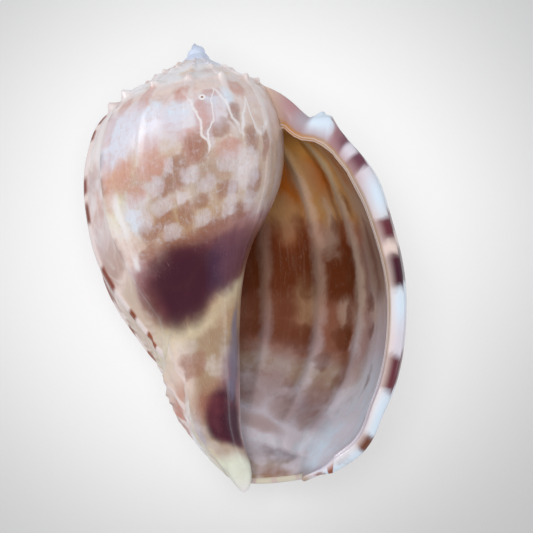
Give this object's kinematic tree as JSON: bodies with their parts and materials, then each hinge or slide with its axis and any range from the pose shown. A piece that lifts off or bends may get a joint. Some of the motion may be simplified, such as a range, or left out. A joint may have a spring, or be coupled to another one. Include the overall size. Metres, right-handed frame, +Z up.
{
  "type": "harp shell",
  "caption": "Hollow spiral sea snail shell with axial ribs and a wide open aperture, lying on its back with the aperture upwards.",
  "frame": {"origin": "centre of the bounding box in X and Y, on the surface that the shell lies on", "axes": "+Y from the siphonal tip towards the apex, +Z up out of the aperture, +X towards the outer lip"},
  "size_m": [0.0454, 0.067, 0.0349],
  "materials": {
    "shell": "glossy, patterned in cream, tan, pink and deep wine"
  },
  "bodies": {
    "root": {"shell": "shell"}
  },
  "joints": []
}
